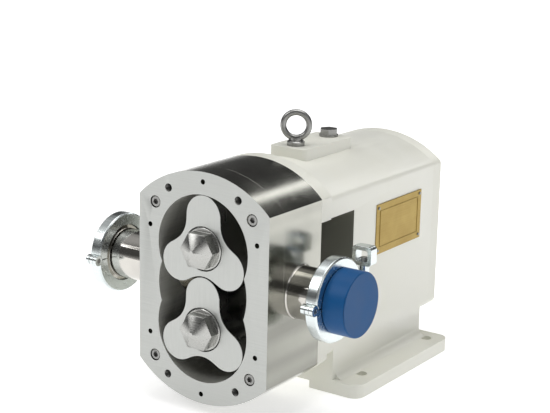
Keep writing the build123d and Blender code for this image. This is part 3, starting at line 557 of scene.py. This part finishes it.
def paint_node(node: str, material: bpy.types.Material) -> None:
    """Give a solid that stays as it is its finish.

    Args:
        node: the solid's node.
        material: its finish.
    """
    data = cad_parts[node].data
    data.materials.clear()
    data.materials.append(material)
    log.info("finished node %s", node)


def lathe(name: str, profile: Sequence[tuple[float, float]], centre: Sequence[float], axis: Sequence[float],
          steps: int = 96) -> bpy.types.Object:
    """Spin a closed profile into a ring.

    Args:
        name: the object's name.
        profile: (along, radius) pairs in millimetres along the axis from the centre.
        centre: a point on the axis in millimetres.
        axis: the axis direction.
        steps: segments round the axis.

    Returns:
        The object.
    """
    direction = Vector(axis).normalized()
    side = direction.orthogonal().normalized()
    base = Vector(centre) * MM
    bm = bmesh.new()
    verts = [bm.verts.new(base + direction * (a * MM) + side * (r * MM)) for a, r in profile]
    edges = [bm.edges.new(pair) for pair in zip(verts, verts[1:])]
    edges.append(bm.edges.new((verts[-1], verts[0])))
    bmesh.ops.spin(bm, geom=verts + edges, cent=base, axis=direction, angle=math.tau, steps=steps,
                   use_merge=True, use_duplicate=False)
    bmesh.ops.remove_doubles(bm, verts=bm.verts, dist=1e-6)
    return finish_mesh(name, bm)


# ---------------------------------------------------------------- sub-assemblies
@dataclass
class Head:
    """Front ring, rotor case and their screws."""

    finishes: Finishes
    edge_mm: float = 0.7
    slack: float = 1.0
    chamber_half_height: float = 93.5

    def in_chamber(self, centre: Vector, normal: Vector) -> bool:
        """Whether a face is a wall of the rotor chamber."""
        across = abs(centre.x) < CAVITY_R + self.slack
        upright = abs(centre.z - HEAD_Z) < self.chamber_half_height
        return across and upright and abs(normal.y) < 0.5 and centre.y < CAVITY_BACK_Y + self.slack

    @staticmethod
    def chamber_back(centre: Vector, normal: Vector) -> bool:
        """Whether a face is the chamber's back wall."""
        return abs(centre.y - CAVITY_BACK_Y) < 0.5 and normal.y < -0.5

    @staticmethod
    def flat_front(centre: Vector, normal: Vector) -> bool:
        """Whether a face looks forward or backward."""
        return abs(normal.y) > 0.9

    def build(self) -> None:
        """Dress the ring, the case and the screws."""
        f = self.finishes
        skin("front_ring", "frame", "brushed_steel", [f.flank, f.face, f.chamber], self.edge_mm, 3,
             [self.flat_front, self.in_chamber])
        skin("rotor_case", "frame", "brushed_steel", [f.flank, f.face, f.chamber, f.chamber], self.edge_mm, 3,
             [self.flat_front, self.in_chamber, self.chamber_back])
        skin("ring_screws", "frame", "dark_screws", [f.fastener], 0.5)


@dataclass
class Rotors:
    """The two three-lobe rotors with their nuts."""

    finishes: Finishes

    @staticmethod
    def forward(centre: Vector, normal: Vector) -> bool:
        """Whether a face looks forward."""
        return normal.y < -0.9

    def build(self) -> None:
        """Dress rotors and nuts."""
        f = self.finishes
        for word, body in (("upper", "drive_train"), ("lower", "driven_train")):
            skin(f"{word}_rotor", body, "rotor_steel", [f.rotor_flank, f.rotor], 0.5, 3, [self.forward])
            skin(f"{word}_rotor_nut", body, "rotor_steel", [f.nut], 0.9, 4)


@dataclass
class Port:
    """One port: tube with ferrule, gasket, hinged clamp, swing bolt and wing nut."""

    finishes: Finishes
    side: Side

    @staticmethod
    def on_rod(centre: Vector, normal: Vector) -> bool:
        """Whether a face is on the swing bolt's rod."""
        return abs(normal.z) < 0.1 and centre.z > HEAD_Z

    def build(self) -> None:
        """Dress the port's pieces."""
        f, word = self.finishes, self.side.word
        skin(f"{word}_port", "frame", "polished_steel", [f.tube], 0.3)
        skin(f"{word}_gasket", "frame", "white_rubber", [f.gasket], 0.3)
        for part in ("clamp_lower", "clamp_upper"):
            skin(f"{word}_{part}", "frame", "cast_clamp", [f.clamp], 0.9)
        for part in ("hinge_pin", "bolt_pin"):
            skin(f"{word}_{part}", "frame", "cast_clamp", [f.fastener], 0.4)
        skin(f"{word}_swing_bolt", f"{word}_bolt", "cast_clamp", [f.fastener, f.thread], 0.4, 3, [self.on_rod])
        skin(f"{word}_wing_nut", f"{word}_nut", "cast_clamp", [f.clamp], 1.2, 4)


@dataclass
class PortPlug:
    """Blue moulded plug pushed into the right port."""

    finishes: Finishes

    def build(self) -> None:
        """Dress the plug."""
        skin("port_plug", "plug", "blue_plastic", [self.finishes.plug], 1.2, 4)


@dataclass
class Gearbox:
    """Painted housing, back cover and their fittings."""

    finishes: Finishes
    bay_back_y: float = 90.0
    bay_half_width: float = 62.5
    bay_half_height: float = 85.0
    roof_half_height: float = 70.0

    def in_bay(self, centre: Vector, normal: Vector) -> bool:
        """Whether a face is a wall of the open seal bay or the hollow body, which takes the painted shade."""
        rise = abs(centre.z - HEAD_Z)
        if not HEAD_BACK_Y + 1 < centre.y < self.bay_back_y or rise > self.bay_half_height:
            return False
        facing = abs(normal.x) > 0.9 or abs(normal.y) > 0.9 or rise < self.roof_half_height
        return abs(centre.x) < self.bay_half_width and facing

    def build(self) -> None:
        """Dress the housing, the cover, the plate and the fittings."""
        f = self.finishes
        skin("gearbox_housing", "frame", "cream_paint", [f.paint, f.inside], 1.6, 4, [self.in_bay], False)
        skin("back_cover", "frame", "cream_paint", [f.paint], 1.4, 4)
        skin("back_cover_screws", "frame", "dark_screws", [f.fastener], 0.5)
        skin("nameplate", "frame", "brass_plate", [f.brass], 0.2)
        skin("nameplate_rivets", "frame", "brass_plate", [f.fastener], 0.3)
        skin("eyebolt", "frame", "dark_screws", [f.fastener], 0.4)
        skin("filler_plug", "frame", "dark_screws", [f.fastener], 0.6)
        skin("drain_plug", "frame", "dark_screws", [f.fastener], 0.6)
        skin("sight_glass_rim", "frame", "dark_screws", [f.fastener], 0.5)
        paint_node("sight_glass", f.glass)


@dataclass
class TappedHoles:
    """Thread turns seen inside the four tapped holes for a front cover, in steel darkened as painted shade inside
    the holes.
    """

    finishes: Finishes
    reach: tuple[float, float] = (40.6, 93.4)
    bore: float = 3.98
    crest: float = 3.45
    pitch: float = 1.25
    turns: int = 11
    start: float = 1.0
    root: float = 0.015
    steps: int = 40

    def thread(self, name: str, x: float, z: float) -> bpy.types.Object:
        """One hole's thread as a ring with a saw-edged section.

        Args:
            name: the object's name.
            x: the hole's place across the face.
            z: the hole's height above the head's centre.

        Returns:
            The thread piece.
        """
        profile = [(self.start, self.bore)]
        for turn in range(self.turns):
            profile.append((self.start + (turn + 0.5) * self.pitch, self.crest))
            profile.append((self.start + (turn + 1) * self.pitch, self.bore))
        profile.append((profile[-1][0], self.bore + self.root))
        profile.append((self.start, self.bore + self.root))
        return lathe(name, profile, (x, FRONT_Y, HEAD_Z + z), (0, 1, 0), self.steps)

    def build(self) -> None:
        """Make the four threads."""
        across, up = self.reach
        for index, (x, z) in enumerate((sx * across, sz * up) for sx in (-1, 1) for sz in (-1, 1)):
            settle(self.thread(f"cover_thread_{index}", x, z), "frame", "brushed_steel", [self.finishes.hole])


@dataclass
class PlateBorder:
    """Raised bead round the blank nameplate."""

    finishes: Finishes
    inset: float = 7.0
    bead: float = 0.8
    rise: float = 0.45

    def build(self) -> None:
        """Make the bead from the plate's own box."""
        low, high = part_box("nameplate")
        middle, half = (low + high) / 2, (high - low) / 2
        place = (Matrix.Translation((high.x, middle.y, middle.z)) @ Matrix.Rotation(math.pi / 2, 4, "Y")
                 @ Matrix.Diagonal((half.z - self.inset * MM, half.y - self.inset * MM, 1.0, 1.0)))
        bm = bmesh.new()
        bmesh.ops.create_grid(bm, x_segments=1, y_segments=1, size=1.0, matrix=place)
        field = list(bm.faces)
        bmesh.ops.inset_region(bm, faces=field, thickness=self.bead * MM, use_boundary=True, use_even_offset=True)
        bmesh.ops.delete(bm, geom=field, context="FACES_ONLY")
        raised = bmesh.ops.extrude_face_region(bm, geom=list(bm.faces), use_keep_orig=True)
        moved = [item for item in raised["geom"] if isinstance(item, bmesh.types.BMVert)]
        bmesh.ops.translate(bm, verts=moved, vec=(self.rise * MM, 0, 0))
        bead = finish_mesh("nameplate_bead", bm)
        soften(bead, 0.2, 2)
        settle(bead, "frame", "brass_plate", [self.finishes.brass])


@dataclass
class RunningGear:
    """Shafts, gears, bearings and seals."""

    finishes: Finishes

    def build(self) -> None:
        """Give the inner pieces their finishes."""
        f = self.finishes
        for word, body in (("drive", "drive_train"), ("driven", "driven_train")):
            skin(f"{word}_shaft", body, "shaft_steel", [f.shaft], 0.4)
            skin(f"{word}_seal_head", body, "shaft_steel", [f.tube], 0.4)
            for part in ("gear", "lock_nut", "bearing_inner_rings", "bearing_spacer", "rotor_key", "gear_key"):
                paint_node(f"{word}_{part}", f.shaft)
        paint_node("bearing_outer_rings", f.shaft)
        for node in ("bearing_lip_seals", "drive_lip_seal", "seal_seats"):
            paint_node(node, f.seal)


@dataclass(frozen=True)
class SoftLight:
    """One soft rectangular light."""

    name: str
    place: tuple[float, float, float]
    target: tuple[float, float, float]
    size: tuple[float, float]
    power: float

    def hang(self) -> None:
        """Hang the light aimed at its target."""
        data = bpy.data.lights.new(self.name, "AREA")
        data.shape = "RECTANGLE"
        data.size, data.size_y = self.size
        data.energy = self.power
        made = bpy.data.objects.new(self.name, data)
        made.location = self.place
        made.rotation_euler = (Vector(self.target) - Vector(self.place)).to_track_quat("-Z", "Y").to_euler()
        bpy.context.scene.collection.objects.link(made)


LIGHTS = (
    SoftLight("key_soft", (-1.2, -1.6, 1.9), (0, 0, 0.12), (1.1, 1.1), 17),
    SoftLight("fill_right", (2.0, -0.5, 0.9), (0, 0, 0.12), (1.0, 1.4), 3.5),
    SoftLight("top_soft", (0.1, 0.1, 2.2), (0, 0, 0.1), (1.8, 1.8), 27),
    SoftLight("back_strip", (0.05, 1.7, 1.45), (0, -0.17, 0.2), (0.22, 1.6), 3),
)
# Height of the surroundings' direction, 0 level and 1 overhead, and the grey there.
SKY_ENDS = (0.95, 1.0)
SKY_STOPS = ((0.05, 0.80), (0.12, 0.16), (0.58, 0.13), (0.74, 0.9))
SKY_STRENGTH = 0.50


@dataclass
class Studio:
    """Floor, lights and camera."""

    finishes: Finishes
    camera_mm: tuple[float, float, float] = (785.1, -1262.4, 537.7)
    azimuth: float = 34.15
    elevation: float = 14.24
    roll: float = 1.27
    lens: float = 94.22

    def floor(self) -> None:
        """Lay the pale floor."""
        bm = bmesh.new()
        bmesh.ops.create_grid(bm, x_segments=2, y_segments=2, size=6.0)
        piece = finish_mesh("floor", bm)
        piece.location.z = CAD_BOUNDS[0][2] - 0.0002
        piece.data.materials.append(self.finishes.floor)

    def camera(self) -> None:
        """Place the camera."""
        az, el, roll = (math.radians(v) for v in (self.azimuth, self.elevation, self.roll))
        ahead = Vector((-math.sin(az) * math.cos(el), math.cos(az) * math.cos(el), -math.sin(el)))
        right = Vector((math.cos(az), math.sin(az), 0.0))
        up = right.cross(ahead)
        right, up = (right * math.cos(roll) + up * math.sin(roll), up * math.cos(roll) - right * math.sin(roll))
        data = bpy.data.cameras.new("view")
        data.lens = self.lens
        data.sensor_width = 36.0
        made = bpy.data.objects.new("view", data)
        made.matrix_world = Matrix.Translation(Vector(self.camera_mm) * MM) @ Matrix(
            (right, up, -ahead)).transposed().to_4x4()
        bpy.context.scene.collection.objects.link(made)
        bpy.context.scene.camera = made

    def world(self) -> None:
        """Pale surroundings, brighter overhead than at the horizon."""
        world = bpy.data.worlds.new("studio")
        bpy.context.scene.world = world
        world.use_nodes = True
        nodes, links = world.node_tree.nodes, world.node_tree.links
        coords = nodes.new("ShaderNodeTexCoord")
        split = nodes.new("ShaderNodeSeparateXYZ")
        ramp = nodes.new("ShaderNodeValToRGB")
        links.new(coords.outputs["Generated"], split.inputs[0])
        links.new(split.outputs["Z"], ramp.inputs[0])
        stops = ramp.color_ramp.elements
        for index, shade in enumerate(SKY_ENDS):
            stops[index].position = float(index)
            stops[index].color = (shade, shade, shade, 1)
        for place, shade in SKY_STOPS:
            stops.new(place).color = (shade, shade, shade, 1)
        links.new(ramp.outputs[0], nodes["Background"].inputs["Color"])
        nodes["Background"].inputs["Strength"].default_value = SKY_STRENGTH

    def build(self) -> None:
        """Set up the studio."""
        self.floor()
        self.camera()
        self.world()
        for light in LIGHTS:
            light.hang()
        bpy.context.scene.view_settings.view_transform = "Standard"


def main() -> None:
    """Build every sub-assembly, then the studio."""
    logging.basicConfig(level=logging.INFO, format="%(name)s: %(message)s")
    finishes = Finishes()
    Head(finishes).build()
    Rotors(finishes).build()
    for side in Side:
        Port(finishes, side).build()
    PortPlug(finishes).build()
    Gearbox(finishes).build()
    TappedHoles(finishes).build()
    PlateBorder(finishes).build()
    RunningGear(finishes).build()
    Studio(finishes).build()


if __name__ == "__main__":
    main()
